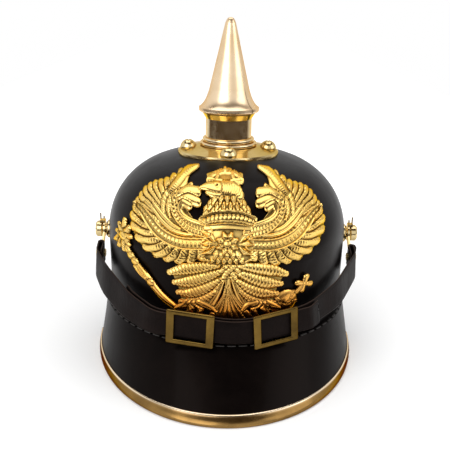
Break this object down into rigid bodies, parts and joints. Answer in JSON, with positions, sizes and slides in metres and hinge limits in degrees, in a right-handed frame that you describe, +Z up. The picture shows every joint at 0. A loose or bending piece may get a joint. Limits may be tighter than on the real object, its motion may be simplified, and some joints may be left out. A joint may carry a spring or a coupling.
{
  "type": "spiked leather helmet",
  "caption": "Black leather helmet with front and rear visors, a screw-in brass spike on a round base plate, a stamped eagle plate and a leather chinstrap with sliding buckles.",
  "frame": {"origin": "on the spike's axis, in the plane on which both visor edges rest", "axes": "+Z up along the spike, front visor towards -Y, rear visor towards +Y, +X to the viewer's right when the eagle is seen from the front"},
  "size_m": [0.208, 0.2956, 0.2512],
  "materials": {
    "shell_leather": "black lacquered leather, polished",
    "strap_leather": "dark satin strap leather",
    "liner_leather": "natural brown leather",
    "thread": "waxed black thread",
    "eagle_gilt": "stamped and polished gilt brass",
    "spike_brass": "pale polished brass",
    "fitting_brass": "polished brass with slight tarnish",
    "inner_metal": "plain sheet steel"
  },
  "bodies": {
    "helmet": {"shell": "shell_leather", "front_visor": "shell_leather", "rear_visor": "shell_leather", "front_visor_trim": "fitting_brass", "front_visor_stitching": "thread", "rear_visor_stitching": "thread", "spike_base_plate": "fitting_brass", "base_plate_studs": "fitting_brass", "base_plate_nuts": "fitting_brass", "crown_reinforcing_disc": "inner_metal", "spike_neck": "fitting_brass", "spike_neck_collar": "fitting_brass", "eagle_plate": "eagle_gilt", "eagle_fixing_posts": "fitting_brass", "eagle_washers": "liner_leather", "eagle_fixing_nuts": "fitting_brass", "rear_spine": "fitting_brass", "rear_spine_screws": "fitting_brass", "rear_spine_nuts": "fitting_brass", "side_post_left": "fitting_brass", "side_post_right": "fitting_brass", "side_post_nuts": "fitting_brass", "side_ball_studs": "fitting_brass", "ball_stud_washers": "fitting_brass", "sweatband": "liner_leather", "liner_tongues": "liner_leather"},
    "chinstrap": {"chinstrap_left": "strap_leather", "chinstrap_right": "strap_leather", "strap_hook_left": "fitting_brass", "strap_hook_right": "fitting_brass", "strap_rivets": "fitting_brass"},
    "left_buckle": {"buckle_left": "fitting_brass"},
    "right_buckle": {"buckle_right": "fitting_brass"},
    "vent_cover": {"vent_slide": "fitting_brass"},
    "spike_sleeve": {"spike_screw_sleeve": "fitting_brass"},
    "spike_point": {"spike": "spike_brass"}
  },
  "joints": [
    {"name": "chinstrap_swing", "type": "hinge", "parent": "helmet", "child": "chinstrap", "pos_m": [0, 0.006, 0.086], "axis": [-1, 0, 0], "range_deg": [0, 60]},
    {"name": "left_buckle_slide", "type": "slide", "parent": "chinstrap", "child": "left_buckle", "axis": [0.9767, -0.2099, -0.0446], "range_m": [-0.0035, 0.0035]},
    {"name": "right_buckle_slide", "type": "slide", "parent": "chinstrap", "child": "right_buckle", "axis": [0.9164, 0.3915, 0.0832], "range_m": [-0.0035, 0.0035]},
    {"name": "vent_cover_slide", "type": "slide", "parent": "helmet", "child": "vent_cover", "axis": [0, -0.0312, -0.9995], "range_m": [0, 0.014]},
    {"name": "spike_rise", "type": "slide", "parent": "helmet", "child": "spike_sleeve", "axis": [0, 0, 1], "range_m": [0, 0.012]},
    {"name": "spike_turn", "type": "hinge", "parent": "spike_sleeve", "child": "spike_point", "pos_m": [0, 0, 0.1826], "axis": [0, 0, 1], "range_deg": [0, 2160]}
  ],
  "couplings": [
    {"joint": "spike_turn", "follows": "spike_rise", "rad_per_m": 3141.5}
  ]
}
